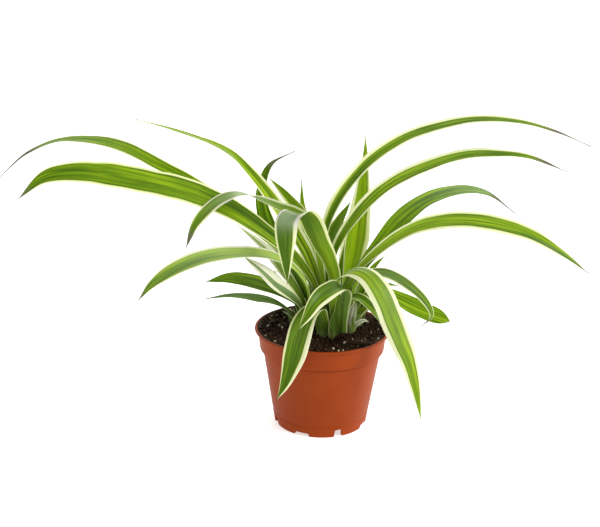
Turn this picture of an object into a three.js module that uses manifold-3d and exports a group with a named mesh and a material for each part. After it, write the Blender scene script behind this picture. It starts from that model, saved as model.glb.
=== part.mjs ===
// A potted spider plant: a plastic nursery pot filled with soil, a crown standing in a hole
// in the soil, and the arching strap leaves that rise from it.
// Millimetres, +Z up. The origin is on the ground under the middle of the pot and -Y is the front.
import * as THREE from "three";
import { mergeVertices } from "three/addons/utils/BufferGeometryUtils.js";
import Module from "manifold-3d";

const wasm = await Module();
wasm.setup();

// Pot
const POT_HEIGHT = 88;
const FOOT_RADIUS = 41.8;
const WALL_SLOPE = 0.1594; // outward run of the wall for each millimetre of height
const WALL = 1.2;
const SHOULDER_Z = 68; // where the plain wall ends and the wider collar starts
const COLLAR_Z = 71;
const COLLAR_RADIUS = 55.6;
const COLLAR_TOP_RADIUS = 57;
const LIP_RADIUS = 60;
const LIP_UNDER_Z = 86.2;
const LIP_WIDTH = 2; // across the flat of the lip's top, which slopes down inside to the wall
const FLOOR_Z = 7.2; // underside of the raised outer ring of the floor
const FLOOR = 1.4;
const PAD_RADIUS = 22; // the middle of the floor drops to a low round pad
const PAD_Z = 1;
const POT_SIDES = 48;
const NOTCHES = 8; // in turn narrow and deep, wide and shallow, round the foot
const NARROW_NOTCH = { width: 6.6, height: 7, first: 22.5 };
const WIDE_NOTCH = { width: 12.6, height: 3, first: 67.5 };

// Soil and crown
const FIT = 0.4; // gap between the soil and the pot
const SOIL_EDGE_Z = 85.3;
const SOIL_MOUND = 0.9;
const SOIL_LUMP = 0.5;
const SOIL_RIM_RADIUS = 56.2;
const SOIL_RIM_RISE = 1.2; // the soil stands a little higher against the lip
const SOIL_HEAP = 1.8; // and is heaped further at the back left
const CROWN_TOP_Z = 86.2;
const CROWN_FOOT_Z = 66;
const CROWN_GAP = 0.35; // between the crown and the wall of its hole in the soil
const CROWN_SIDES = 18;
const CROWN_EDGE = 1.2; // how far the rounded edge of a mound reaches in
const CROWN_MOUNDS = [
  // x, y, radius
  [-15, 3, 15],
  [20.5, 4.5, 15.5],
  [10.5, -15.5, 14],
  [1, 15, 15],
];

// Leaves
const SEAT_GAP = 0.3;
const ROOT_Z = CROWN_TOP_Z + SEAT_GAP; // every leaf stands on the flat top of the crown
const LEAF_ROWS = 17;
const CURVE_STEPS = 40; // samples on each span of a midrib
const THICK_AT_ROOT = 0.8;
const THICK_AT_TIP = 0.62;
const TIP_HALF_WIDTH = 0.6;
const FOLD_AT = [0, 0.12, 0.35, 0.65, 1];
const FOLD_DEG = [55, 48, 28, 14, 10]; // how far each half of a blade stands up from flat

// One row for each leaf. root is its foot on the crown, heading the compass way it grows
// (0 is +X, 90 is the back), midrib its [reach, height] points after the root, width its
// greatest width, roll the turn about its own length from root to tip in degrees, rootWidth
// the share of the width at the root, widest where along it the blade is widest, taper how
// late it narrows, and fold how far each half stands up.
const leaf = (root, heading, midrib, width, roll = [0, 0], form = {}) => ({
  root, heading, midrib, width, roll,
  rootWidth: 0.42, widest: 0.45, taper: 1.8, fold: FOLD_DEG, ...form,
});
const LEAVES = {
  leaf_left_high: leaf([-6.8, 8.5], 168,
    [[0, 113], [13, 136], [29, 150], [59, 172], [106, 206], [142, 222],
      [177, 237], [209, 242], [244, 239], [274, 226], [305, 201]],
    12, [-35, -50, -58, -60, -8, -40], { rootWidth: 0.3, widest: 0.62, taper: 1.6 }),
  leaf_left_broad: leaf([-8.8, 3.3], 182,
    [[-4, 112], [2, 131], [14, 148], [28, 162], [44, 175], [73, 194],
      [106, 208], [144, 217], [180, 223], [208, 224], [231, 219], [254, 200]],
    23, [-35, -55, -62, -62, -62, -55], { rootWidth: 0.38, widest: 0.6, taper: 3 }),
  leaf_left_tall: leaf([-3.1, 12.2], 157,
    [[0, 118], [10, 145], [21, 163], [44, 192], [67, 216], [90, 234], [130, 246], [190, 256]],
    15, [-30, -50, -45, -15, -15, -25], { rootWidth: 0.5, widest: 0.3, taper: 1.5 }),
  leaf_back_left_curled: leaf([-8, 15], 148,
    [[8, 108], [27, 138], [48, 163], [58, 187], [58, 205], [49, 225], [23, 240]],
    19, [-10, -30, -50, -45, -30], { widest: 0.4, taper: 1 }),
  leaf_back_left: leaf([-2, 17], 128,
    [[8, 130], [29, 176], [48, 188], [64, 196], [83, 204]],
    15, [-10, -30, -45, -45], { widest: 0.5 }),
  leaf_back_thin: leaf([5, 19], 118,
    [[12, 120], [38, 160], [55, 182], [58, 205]],
    10, [0, -20, -20]),
  leaf_left_arched: leaf([-2, 1], 190,
    [[-1, 128], [1, 145], [4, 163], [8, 177], [14, 187], [25, 194], [36, 198],
      [47, 203], [60, 208], [73, 210], [86, 206], [97, 198], [109, 184], [117, 164]],
    14, [40, 50, 58, 62, 55, 32, -25, -52, -62], { widest: 0.7, taper: 2.5, fold: [55, 48, 25, 8, 8] }),
  leaf_front_folded: leaf([12.3, -0.9], 215,
    [[2, 119], [4, 137], [11, 155], [18, 167], [25, 181], [31, 192], [36, 197],
      [42, 198], [48, 198], [53, 193], [54, 176], [53, 157], [52, 138]],
    23, [20, 35, 45, 48, 45, 20, -45, -54, -56], { widest: 0.66, taper: 1.5, fold: [55, 50, 34, 8, 6] }),
  leaf_left_low: leaf([-12, -6], 193,
    [[-1, 106], [2, 127], [16, 147], [37, 158], [63, 161],
      [89, 159], [115, 150], [135, 137], [147, 123]],
    15.5, [0, -15, -33, -40, -48, -50], { widest: 0.72, taper: 2 }),
  leaf_left_lower: leaf([-20, -1], 186,
    [[2, 106], [14, 118], [33, 128], [61, 134], [82, 131]],
    14, [-10, -30, -50, -50, -50], { widest: 0.6, taper: 2 }),
  leaf_left_lowest: leaf([-24, 4], 180,
    [[4, 98], [18, 108], [35, 112], [58, 114], [80, 110]],
    8.5, [0, -20, -45, -25, -25]),
  leaf_left_pale: leaf([-17.5, 8.2], 175,
    [[1, 108], [16, 133], [33, 155], [59, 176]],
    12, [0, -45, -55]),
  leaf_left_striped: leaf([-19, -9], 191,
    [[1, 110], [23, 133], [35, 145], [50, 157]],
    15, [0, -45, -55], { rootWidth: 0.35, widest: 0.6 }),
  leaf_front_small: leaf([17.8, -24], 229,
    [[-1, 114], [-2, 129], [6, 136], [15, 136], [25, 134], [35, 130], [40, 126], [46, 120], [56, 111]],
    17, [0, 15, -25, -45, -40], { rootWidth: 0.38, widest: 0.6 }),
  leaf_front_drooping: leaf([3, -19], 240,
    [[3, 100], [9, 112], [16, 116], [25, 117], [33, 114], [40, 107],
      [46, 96], [51, 86], [58, 75], [66, 65], [76, 57]],
    22, [0, 0, -15, -22, -22], { widest: 0.55, taper: 1.8 }),
  leaf_right_drooping: leaf([11.7, -12.5], -39,
    [[-3, 112], [-3, 126], [1, 136], [9, 144], [20, 149], [32, 148], [42, 141],
      [51, 130], [60, 114], [70, 97], [78, 83], [86, 61], [93, 35]],
    21.5, [0, 5, 20, 42, 45, 45], { widest: 0.5, taper: 1.9, fold: [55, 40, -12, -4, 6] }),
  leaf_right_short: leaf([27.5, 1.4], -22,
    [[1, 114], [9, 137], [26, 142], [44, 137], [65, 122], [71, 110], [62, 99]],
    12, [0, 15, 50, 50]),
  leaf_right_blunt: leaf([28, 7], -12,
    [[4, 106], [12, 118], [24, 121], [36, 118], [58, 109], [85, 100]],
    15, [0, 30, 58, 58], { rootWidth: 0.3, widest: 0.72, taper: 5 }),
  leaf_right_highest: leaf([1.5, 5.3], 2,
    [[-1, 125], [-2, 168], [3, 190], [11, 207], [23, 224], [38, 240],
      [65, 258], [93, 268], [124, 274], [162, 272], [192, 264], [222, 252]],
    12, [35, 55, 65, 62, 60, 50, 35], { widest: 0.35 }),
  leaf_right_high: leaf([6.1, 4.9], -4,
    [[1, 119], [2, 151], [10, 173], [30, 202], [50, 220],
      [77, 235], [109, 246], [137, 248], [162, 246], [195, 234]],
    12.5, [35, 55, 62, 60, 55, 45], { widest: 0.4, taper: 2.2 }),
  leaf_right_dark: leaf([14, 12], 12,
    [[6, 115], [23, 142], [42, 168], [56, 184], [78, 200],
      [103, 207], [120, 207], [136, 202], [161, 184]],
    17, [20, 45, 55, 58, 58, 40], { rootWidth: 0.38, widest: 0.5, taper: 1 }),
  leaf_right_long: leaf([14.4, 5], -4,
    [[5, 112], [17, 141], [29, 155], [50, 173], [69, 183],
      [97, 189], [125, 188], [161, 179], [190, 163], [212, 147]],
    16, [20, 45, 60, 62, 60, 45], { rootWidth: 0.35, widest: 0.6, taper: 2 }),
  leaf_back_broad: leaf([12, 18], 72,
    [[5, 98], [23, 110], [47, 134], [66, 163], [76, 198], [80, 226], [77, 244]],
    29, [0, 0], { widest: 0.47, taper: 1 }),
  leaf_back_middle: leaf([1.4, 14.2], 50,
    [[-1, 118], [0, 143], [5, 162], [19, 180], [33, 193]],
    18, [0, 0], { widest: 0.6 }),
  leaf_back_sliver: leaf([11.7, 8.7], 69,
    [[1, 105], [11, 140], [19, 160]],
    8, [0, 0], { rootWidth: 0.6 }),
  leaf_right_stub: leaf([26, 13], 28,
    [[9, 115], [20, 136], [33, 147]],
    9, [0, 30, 40]),
  leaf_right_tip: leaf([31, 9], 10,
    [[8, 110], [24, 124], [36, 123]],
    8, [0, 30, 45]),
  leaf_right_inner: leaf([25, -7.5], -30,
    [[-2, 108], [0, 119], [8, 120], [18, 115], [28, 106], [37, 93]],
    11, [0, 15, 40]),
  leaf_rear_1: leaf([-7, 22], 104,
    [[8, 110], [30, 135], [62, 146], [95, 136], [118, 112]],
    17),
  leaf_rear_2: leaf([3, 26], 92,
    [[6, 108], [26, 132], [55, 142], [88, 132], [112, 108]],
    18),
  leaf_rear_3: leaf([22, 16], 68,
    [[8, 98], [26, 112], [52, 118], [80, 110], [100, 92]],
    16),
  leaf_rear_4: leaf([-15.5, 16.5], 118,
    [[5, 98], [20, 112], [42, 120], [66, 114], [86, 98]],
    16),
  leaf_rear_5: leaf([30.5, 15], 44,
    [[5, 97], [16, 107], [32, 108], [48, 99]],
    12),
};

const rad = (degrees) => (degrees * Math.PI) / 180;
const clamp01 = (a) => Math.min(Math.max(a, 0), 1);

// The value at u of a line through ys at xs.
function along(xs, ys, u) {
  let i = 1;
  while (i < xs.length - 1 && u > xs[i]) i++;
  const t = clamp01((u - xs[i - 1]) / (xs[i] - xs[i - 1]));
  return ys[i - 1] + (ys[i] - ys[i - 1]) * t;
}

// A geometry's shared vertices merged into a solid that can be joined and cut.
function solidOf(geometry) {
  const bare = geometry.clone();
  bare.deleteAttribute("normal");
  bare.deleteAttribute("uv");
  const merged = mergeVertices(bare, 1e-4);
  return new wasm.Manifold(new wasm.Mesh({
    numProp: 3,
    vertProperties: new Float32Array(merged.attributes.position.array),
    triVerts: new Uint32Array(merged.index.array),
  }));
}

function geometryOf(solid) {
  const mesh = solid.getMesh();
  const geometry = new THREE.BufferGeometry();
  geometry.setAttribute("position", new THREE.BufferAttribute(mesh.vertProperties, 3));
  geometry.setIndex(new THREE.BufferAttribute(mesh.triVerts, 1));
  const flat = geometry.toNonIndexed();
  flat.computeVertexNormals();
  return flat;
}

// A turned solid: a closed [radius, height] outline spun about Z.
function turned(outline, sides) {
  const points = outline.map(([r, z]) => new THREE.Vector2(r, z));
  return new THREE.LatheGeometry(points, sides).rotateX(Math.PI / 2);
}

const wallRadius = (z) => FOOT_RADIUS + WALL_SLOPE * z;

function makePot() {
  const floorTop = FLOOR_Z + FLOOR;
  const skirt = FOOT_RADIUS - 1.8;
  const outline = [
    [0, PAD_Z], [PAD_RADIUS, PAD_Z], [PAD_RADIUS + 1.8, FLOOR_Z], [skirt, FLOOR_Z],
    [skirt, 0], [FOOT_RADIUS - 0.4, 0], [FOOT_RADIUS, 0.6], [wallRadius(SHOULDER_Z), SHOULDER_Z],
    [wallRadius(SHOULDER_Z) + 0.9, SHOULDER_Z + 0.8], [COLLAR_RADIUS - 0.4, COLLAR_Z - 0.8],
    [COLLAR_RADIUS, COLLAR_Z], [COLLAR_TOP_RADIUS, LIP_UNDER_Z - 0.6],
    [COLLAR_TOP_RADIUS + 0.7, LIP_UNDER_Z], [LIP_RADIUS - 0.5, LIP_UNDER_Z],
    [LIP_RADIUS, LIP_UNDER_Z + 0.6], [LIP_RADIUS, POT_HEIGHT - 0.6], [LIP_RADIUS - 0.6, POT_HEIGHT],
    [LIP_RADIUS - LIP_WIDTH, POT_HEIGHT], [COLLAR_TOP_RADIUS - WALL, LIP_UNDER_Z - 0.6],
    [COLLAR_RADIUS - WALL, COLLAR_Z + 0.4], [wallRadius(SHOULDER_Z) - WALL, SHOULDER_Z + 0.2],
    [wallRadius(floorTop) - WALL, floorTop], [PAD_RADIUS + 0.6, floorTop],
    [PAD_RADIUS - 1.2, PAD_Z + FLOOR], [0, PAD_Z + FLOOR],
  ];
  let pot = solidOf(turned(outline, POT_SIDES));
  for (let i = 0; i < NOTCHES; i++) {
    const narrow = i % 2 === 0;
    const { width, height, first } = narrow ? NARROW_NOTCH : WIDE_NOTCH;
    const angle = first + 90 * Math.floor(i / 2);
    const half = width / 2;
    const shape = new THREE.Shape();
    const corner = Math.min(1.8, height * 0.4);
    shape.moveTo(-half, -1);
    shape.lineTo(half, -1);
    shape.lineTo(half, height - corner);
    shape.quadraticCurveTo(half, height, half - corner, height);
    shape.lineTo(-half + corner, height);
    shape.quadraticCurveTo(-half, height, -half, height - corner);
    shape.lineTo(-half, -1);
    // the wall's notch, cut from inside the skirt outwards
    const cutter = new THREE.ExtrudeGeometry(shape, { depth: 8, bevelEnabled: false, curveSegments: 3 })
      .rotateX(Math.PI / 2)
      .translate(0, -36, 0)
      .rotateZ(rad(angle));
    pot = pot.subtract(solidOf(cutter));
    if (narrow) {
      // a drain slot in the floor behind each narrow notch
      const slot = new THREE.BoxGeometry(width - 1, 5, 6)
        .translate(0, -33, FLOOR_Z + FLOOR / 2)
        .rotateZ(rad(angle));
      pot = pot.subtract(solidOf(slot));
    }
  }
  return geometryOf(pot);
}

// The crown: low mounds grown together, flat on top where the leaves stand.
function crownSolid(grow, top) {
  let all = null;
  for (const [x, y, radius] of CROWN_MOUNDS) {
    const r = radius + grow;
    const foot = CROWN_FOOT_Z - grow;
    const outline = grow
      ? [[0, foot], [r * 0.62, foot], [r * 0.86, foot + 6], [r, foot + 14], [r, top], [0, top]]
      : [[0, foot], [r * 0.62, foot], [r * 0.86, foot + 6], [r, foot + 14], [r, top - CROWN_EDGE],
        [r - CROWN_EDGE * 0.3, top - CROWN_EDGE * 0.3], [r - CROWN_EDGE, top], [0, top]];
    const mound = solidOf(turned(outline, CROWN_SIDES).translate(x, y, 0));
    all = all ? all.add(mound) : mound;
  }
  return all;
}

// Height of the soil: a low mound with lumps, and a slight rise to the wall of the pot.
function soilHeight(x, y) {
  const r = Math.hypot(x, y);
  const edge = clamp01((54 - r) / 8);
  const lumps = Math.sin(x * 0.21 + 0.7) * Math.cos(y * 0.26 - 0.4)
    + 0.6 * Math.sin(x * 0.47 - y * 0.39 + 1.9);
  return SOIL_EDGE_Z + edge * (SOIL_MOUND * Math.exp(-(((x + 12) / 40) ** 2) - ((y - 14) / 40) ** 2)
    + SOIL_LUMP * lumps) + (SOIL_RIM_RISE + SOIL_HEAP * clamp01((y - x) / (1.4 * r + 1)))
    * clamp01((r - 46) / (SOIL_RIM_RADIUS - 46)) ** 2;
}

function makeSoil() {
  const floorTop = FLOOR_Z + FLOOR;
  const inner = (z) => (z > COLLAR_Z ? COLLAR_RADIUS - WALL : wallRadius(z) - WALL) - FIT;
  const outline = [
    [0, PAD_Z + FLOOR + FIT], [PAD_RADIUS - 2, PAD_Z + FLOOR + FIT], [PAD_RADIUS, floorTop + FIT],
    [inner(floorTop), floorTop + FIT], [inner(SHOULDER_Z), SHOULDER_Z], [inner(COLLAR_Z + 1), COLLAR_Z + 1],
    [SOIL_RIM_RADIUS - 1, SOIL_EDGE_Z - 0.3], [SOIL_RIM_RADIUS, SOIL_EDGE_Z], [53, SOIL_EDGE_Z],
    [47, SOIL_EDGE_Z], [39, SOIL_EDGE_Z], [30, SOIL_EDGE_Z], [18, SOIL_EDGE_Z], [0, SOIL_EDGE_Z],
  ];
  const body = turned(outline, POT_SIDES);
  const p = body.attributes.position;
  for (let i = 0; i < p.count; i++) {
    if (p.getZ(i) > SOIL_EDGE_Z - 0.01) p.setZ(i, soilHeight(p.getX(i), p.getY(i)));
  }
  return geometryOf(solidOf(body).subtract(crownSolid(CROWN_GAP, 100)));
}

// A leaf: a channelled blade, three vertices across each face, swept along its midrib. At u
// (0 root, 1 tip) the half width w rises smoothly from the root to the widest place and falls
// to the tip, each half stands up by the fold angle f, and the point at v across (-1 to 1) is
// midrib + side * w * v * cos f + up * w * sin f * (|v| - 1/2).
function makeLeaf(spec) {
  const h = rad(spec.heading);
  const out = new THREE.Vector3(Math.cos(h), Math.sin(h), 0);
  const level = new THREE.Vector3(-Math.sin(h), Math.cos(h), 0);
  const rows = [[0, ROOT_Z], ...spec.midrib];
  const points = rows.map(([reach, z]) =>
    new THREE.Vector3(spec.root[0], spec.root[1], z).addScaledVector(out, reach));
  const dense = new THREE.CatmullRomCurve3(points, false, "centripetal")
    .getPoints(CURVE_STEPS * (points.length - 1));
  const run = [0];
  for (let i = 1; i < dense.length; i++) run.push(run[i - 1] + dense[i].distanceTo(dense[i - 1]));
  const length = run[run.length - 1];
  const at = (u) => {
    let i = 1;
    while (i < run.length - 1 && run[i] < u * length) i++;
    const t = clamp01((u * length - run[i - 1]) / (run[i] - run[i - 1]));
    return dense[i - 1].clone().lerp(dense[i], t);
  };
  const us = Array.from({ length: LEAF_ROWS }, (_, i) => i / (LEAF_ROWS - 1));
  const rib = us.map(at);
  const faces = [[], []];
  us.forEach((u, i) => {
    const before = rib[Math.max(i - 1, 0)];
    const after = rib[Math.min(i + 1, LEAF_ROWS - 1)];
    const tangent = after.clone().sub(before).normalize();
    const up = tangent.clone().cross(level).normalize();
    const roll = rad(along(spec.roll.map((_, k) => k / (spec.roll.length - 1)), spec.roll, u));
    const side = level.clone().multiplyScalar(Math.cos(roll)).addScaledVector(up, Math.sin(roll));
    const face = up.clone().multiplyScalar(Math.cos(roll)).addScaledVector(level, -Math.sin(roll));
    const rise = THREE.MathUtils.smoothstep(u, 0, spec.widest);
    const fall = clamp01((u - spec.widest) / (1 - spec.widest)) ** spec.taper;
    const w = Math.max((spec.width / 2) * (spec.rootWidth + (1 - spec.rootWidth) * rise) * (1 - fall),
      TIP_HALF_WIDTH);
    const f = rad(along(FOLD_AT, spec.fold, u));
    const half = (THICK_AT_ROOT + (THICK_AT_TIP - THICK_AT_ROOT) * u) / 2 / Math.cos(f);
    [half, -half].forEach((lift, k) => {
      for (const v of [-1, 0, 1]) {
        faces[k].push(rib[i].clone().addScaledVector(side, w * v * Math.cos(f))
          .addScaledVector(face, w * Math.sin(f) * (Math.abs(v) - 0.5) + lift));
      }
    });
  });
  // the foot is cut level
  for (const face of faces) for (const corner of face.slice(0, 3)) corner.z = ROOT_Z;
  const top = (i, j) => i * 3 + j;
  const under = (i, j) => (LEAF_ROWS + i) * 3 + j;
  const index = [];
  for (let i = 0; i < LEAF_ROWS - 1; i++) {
    for (const j of [0, 1]) {
      index.push(top(i, j), top(i + 1, j), top(i + 1, j + 1), top(i, j), top(i + 1, j + 1), top(i, j + 1));
      index.push(under(i, j), under(i + 1, j + 1), under(i + 1, j));
      index.push(under(i, j), under(i, j + 1), under(i + 1, j + 1));
    }
    index.push(top(i, 0), under(i, 0), under(i + 1, 0), top(i, 0), under(i + 1, 0), top(i + 1, 0));
    index.push(top(i, 2), under(i + 1, 2), under(i, 2), top(i, 2), top(i + 1, 2), under(i + 1, 2));
  }
  const end = LEAF_ROWS - 1;
  for (const j of [0, 1]) {
    index.push(top(0, j), top(0, j + 1), under(0, j + 1), top(0, j), under(0, j + 1), under(0, j));
    index.push(top(end, j), under(end, j), under(end, j + 1), top(end, j), under(end, j + 1), top(end, j + 1));
  }
  const geometry = new THREE.BufferGeometry().setFromPoints([...faces[0], ...faces[1]]);
  geometry.setIndex(index);
  geometry.computeVertexNormals();
  return geometry;
}

const terracotta = new THREE.MeshStandardMaterial({ color: "#b5562f", roughness: 0.45, metalness: 0 });
const darkSoil = new THREE.MeshStandardMaterial({ color: "#2b1c12", roughness: 1, metalness: 0 });
const paleCrown = new THREE.MeshStandardMaterial({ color: "#b9c48a", roughness: 0.7, metalness: 0 });
const greenLeaf = new THREE.MeshStandardMaterial({ color: "#7aa63c", roughness: 0.5, metalness: 0 });

const plant = new THREE.Group();
function place(name, geometry, material) {
  const mesh = new THREE.Mesh(geometry, material);
  mesh.name = name;
  plant.add(mesh);
}

place("pot", makePot(), terracotta);
place("soil", makeSoil(), darkSoil);
place("crown", geometryOf(crownSolid(0, CROWN_TOP_Z)), paleCrown);
for (const [name, spec] of Object.entries(LEAVES)) place(name, makeLeaf(spec), greenLeaf);

export default plant;
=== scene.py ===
"""A potted spider plant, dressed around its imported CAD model.

The plant is one of the variegated kind: arching strap leaves with a green middle and cream margins, in a
moulded nursery pot filled with peat. Each leaf is worked out from the same midrib as its CAD node.
Tables are in millimetres and degrees, and meshes are in metres. -Y is the front, +X the right, +Z up.
"""

import logging
import math
from dataclasses import dataclass, field
from enum import Enum
from functools import partial
from typing import Any, ClassVar

import bpy
import numpy as np
from mathutils import Matrix


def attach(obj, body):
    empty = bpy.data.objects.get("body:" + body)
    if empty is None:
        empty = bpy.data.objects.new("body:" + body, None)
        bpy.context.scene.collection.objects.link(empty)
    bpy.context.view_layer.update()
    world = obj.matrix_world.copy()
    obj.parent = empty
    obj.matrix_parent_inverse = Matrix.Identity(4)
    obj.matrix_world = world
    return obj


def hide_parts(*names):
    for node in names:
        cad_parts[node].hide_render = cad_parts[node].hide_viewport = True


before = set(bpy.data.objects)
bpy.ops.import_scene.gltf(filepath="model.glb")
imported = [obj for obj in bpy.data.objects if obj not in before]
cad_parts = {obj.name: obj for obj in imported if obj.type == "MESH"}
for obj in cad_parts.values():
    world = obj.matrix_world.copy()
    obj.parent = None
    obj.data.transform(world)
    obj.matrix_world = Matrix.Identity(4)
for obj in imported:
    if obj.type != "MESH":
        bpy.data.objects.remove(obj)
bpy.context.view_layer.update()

LOG = logging.getLogger("spider_plant")
MM = 0.001
BODY = "root"

Array = np.ndarray
Colour = tuple[float, float, float, float]
Point2 = tuple[float, float]
Socket = bpy.types.NodeSocket


class Slot(Enum):
    """The record's material slots."""

    POT = "pot_plastic"
    SOIL = "soil"
    CROWN = "crown"
    LEAF = "leaf"


# Colour, nodes and meshes


def linear(code: str) -> Colour:
    """Turns an sRGB hex colour into the linear red, green, blue and alpha that shaders take."""
    parts = [int(code[i : i + 2], 16) / 255 for i in (1, 3, 5)]
    return (*(p / 12.92 if p <= 0.04045 else ((p + 0.055) / 1.055) ** 2.4 for p in parts), 1.0)


def add_node(tree: bpy.types.NodeTree, kind: str, inputs: dict | None = None, out: int | str = 0,
             stops: tuple[tuple[float, str], ...] = (), **settings: Any) -> Socket:
    """Adds a node with its settings, values and links.

    Args:
        tree: The node tree that it joins.
        kind: The node's Blender type name, after ShaderNode.
        inputs: A socket's name or number, to a value, a hex colour or the output that feeds it.
        out: Which output is wanted.
        stops: Places and hex colours of a colour ramp, with any past the second one between those two.
        **settings: The node's own properties.

    Returns:
        The output that is wanted.
    """
    node = tree.nodes.new("ShaderNode" + kind)
    for name, value in settings.items():
        setattr(node, name, value)
    for count, (at, code) in enumerate(stops):
        elements = node.color_ramp.elements
        element = elements[count] if count < 2 else elements.new(at)
        element.position, element.color = at, linear(code)
    for key, value in (inputs or {}).items():
        if isinstance(value, Socket):
            tree.links.new(value, node.inputs[key])
        else:
            node.inputs[key].default_value = linear(value) if isinstance(value, str) else value
    return node.outputs[out]


def new_material(name: str) -> tuple[bpy.types.Material, bpy.types.NodeTree, Socket]:
    """Makes an empty node material.

    Args:
        name: The material's name.

    Returns:
        The material, its tree and the socket that takes its surface.
    """
    material = bpy.data.materials.new(name)
    material.use_nodes = True
    tree = material.node_tree
    tree.nodes.clear()
    return material, tree, tree.nodes.new("ShaderNodeOutputMaterial").inputs["Surface"]


def outward(points: Array, faces: list[Array]) -> list[Array]:
    """Turns every face round if a closed mesh is inside out.

    The volume is a sixth of the sum, over triangles of each face, of corner . (next x after next).

    Args:
        points: Vertices, n by 3.
        faces: Arrays of faces, each with its own number of corners.

    Returns:
        The faces, pointing outwards.
    """
    total = 0.0
    for group in faces:
        first = points[group[:, 0]]
        for k in range(1, group.shape[1] - 1):
            total += np.einsum("ij,ij->", first, np.cross(points[group[:, k]], points[group[:, k + 1]]))
    return [group[:, ::-1] for group in faces] if total < 0 else faces


def make_object(name: str, points: Array, faces: list[Array], material: bpy.types.Material,
                values: dict[str, Array] | None = None, sharp: float | None = None) -> bpy.types.Object:
    """Puts a mesh into the scene as a piece at the origin.

    Args:
        name: The piece's name.
        points: Vertices in millimetres, n by 3.
        faces: Arrays of faces, each with its own number of corners.
        material: The piece's material.
        values: Numbers for each vertex, by attribute name.
        sharp: The angle in degrees past which an edge is left sharp, or None for all smooth.

    Returns:
        The new object.
    """
    mesh = bpy.data.meshes.new(name)
    corners = [face for group in outward(points, faces) for face in group.tolist()]
    mesh.from_pydata((points * MM).tolist(), [], corners)
    mesh.polygons.foreach_set("use_smooth", np.ones(len(mesh.polygons), bool))
    for key, numbers in (values or {}).items():
        attribute = mesh.attributes.new(key, "FLOAT", "POINT")
        attribute.data.foreach_set("value", np.ascontiguousarray(numbers, np.float32))
    if sharp is not None:
        mesh.set_sharp_from_angle(angle=math.radians(sharp))
    mesh.materials.append(material)
    mesh.validate()
    mesh.update()
    piece = bpy.data.objects.new(name, mesh)
    bpy.context.scene.collection.objects.link(piece)
    return piece


def place(piece: bpy.types.Object, slot: Slot, *nodes: str) -> None:
    """Makes a piece ride on the plant and stand for its CAD nodes.

    Args:
        piece: The finished piece.
        slot: The record's material slot, which is not used.
        *nodes: The CAD nodes that it replaces.
    """
    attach(piece, BODY)
    if nodes:
        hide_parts(*nodes)
    LOG.info("%s: %d faces", piece.name, len(piece.data.polygons))


# Shapes


def smoothstep(x: Array) -> Array:
    """An even S from 0 to 1: 3x^2 - 2x^3 of x held within 0 and 1."""
    x = np.clip(x, 0, 1)
    return x * x * (3 - 2 * x)


def lattice_noise(x: Array, y: Array, seed: int) -> Array:
    """Smooth noise from -1 to 1: random values at whole numbers, blended by smoothstep between them.

    Args:
        x: First coordinate.
        y: Second coordinate.
        seed: Which noise.

    Returns:
        Noise of the same shape as x.
    """
    cells = 64
    table = np.random.default_rng(seed).uniform(-1, 1, (cells, cells))
    i, j = np.floor(x).astype(int), np.floor(y).astype(int)
    a, b = smoothstep(x - i), smoothstep(y - j)
    low, high = (table[i % cells, row % cells] * (1 - a) + table[(i + 1) % cells, row % cells] * a
                 for row in (j, j + 1))
    return low * (1 - b) + high * b


def smooth_line(points: Array, steps: int = 40) -> Array:
    """A centripetal Catmull-Rom line through points.

    Each span is a cubic between two points, whose slopes at its ends come from the neighbours, weighed by
    the square roots of the gaps. The line's ends use the mirror image of their neighbour.

    Args:
        points: The points, n by 3.
        steps: How many steps each span is cut into.

    Returns:
        Points along the line.
    """
    wide = np.vstack([2 * points[0] - points[1], points, 2 * points[-1] - points[-2]])
    a, b, c, d = wide[:-3], wide[1:-2], wide[2:-1], wide[3:]
    g0, g1, g2 = (np.sqrt(np.linalg.norm(q - p, axis=1))[:, None] for p, q in ((a, b), (b, c), (c, d)))
    slope_b = ((b - a) / g0 - (c - a) / (g0 + g1) + (c - b) / g1) * g1
    slope_c = ((c - b) / g1 - (d - b) / (g1 + g2) + (d - c) / g2) * g1
    t = np.linspace(0, 1, steps, endpoint=False)[None, :, None]
    spans = (b[:, None] * (2 * t**3 - 3 * t**2 + 1) + slope_b[:, None] * (t**3 - 2 * t**2 + t)
             + c[:, None] * (3 * t**2 - 2 * t**3) + slope_c[:, None] * (t**3 - t**2))
    return np.vstack([spans.reshape(-1, 3), points[-1:]])


def tube_faces(rows: int, ring: int) -> list[Array]:
    """Faces of a tube of rows, each a closed ring, with a point at each end.

    The vertices are the rings in order, then the first end's point, then the last end's.

    Args:
        rows: How many rings.
        ring: How many vertices a ring has.

    Returns:
        The quads and the triangles of the two ends.
    """
    i, j = np.meshgrid(np.arange(rows - 1), np.arange(ring), indexing="ij")
    k = (j + 1) % ring
    quads = np.stack([i * ring + j, i * ring + k, (i + 1) * ring + k, (i + 1) * ring + j], -1).reshape(-1, 4)
    j = np.arange(ring)
    k = (j + 1) % ring
    end = (rows - 1) * ring
    first = np.stack([k, j, np.full(ring, rows * ring)], -1)
    last = np.stack([end + j, end + k, np.full(ring, rows * ring + 1)], -1)
    return [quads, np.vstack([first, last])]


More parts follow.
